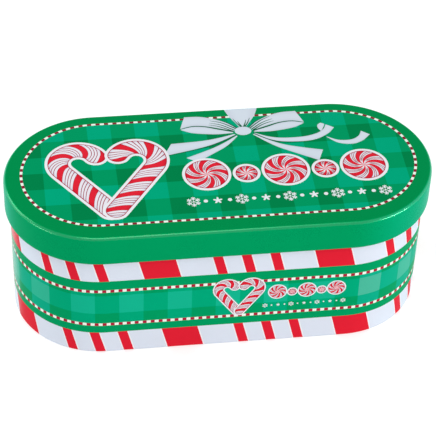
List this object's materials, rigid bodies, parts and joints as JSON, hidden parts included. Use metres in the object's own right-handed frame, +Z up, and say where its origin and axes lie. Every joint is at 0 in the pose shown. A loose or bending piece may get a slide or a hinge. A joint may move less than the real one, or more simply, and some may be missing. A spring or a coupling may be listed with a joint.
{
  "type": "christmas candy tin",
  "caption": "Oblong slip-lid sweet tin with round ends, a curled lid and rim, a locked bottom seam and a festive print of stripes, stitches and squares.",
  "frame": {"origin": "middle of the tin's length and width, on the surface it stands on", "axes": "+X along the length, +Y towards the back where the wall's side seam is, +Z up through the lid"},
  "size_m": [0.216, 0.0944, 0.0803],
  "materials": {
    "printed_wall": "glossy printed lacquer on tinplate, bare metal inside",
    "plain_bottom": "bare tinplate with a clear lacquer",
    "printed_lid": "glossy printed lacquer on tinplate, bare metal inside"
  },
  "bodies": {
    "tin_body": {"body_wall": "printed_wall", "bottom_plate": "plain_bottom"},
    "lid": {"lid": "printed_lid"}
  },
  "joints": [
    {"name": "lid_lift", "type": "slide", "parent": "tin_body", "child": "lid", "axis": [0, 0, 1], "range_m": [0, 0.06]}
  ]
}
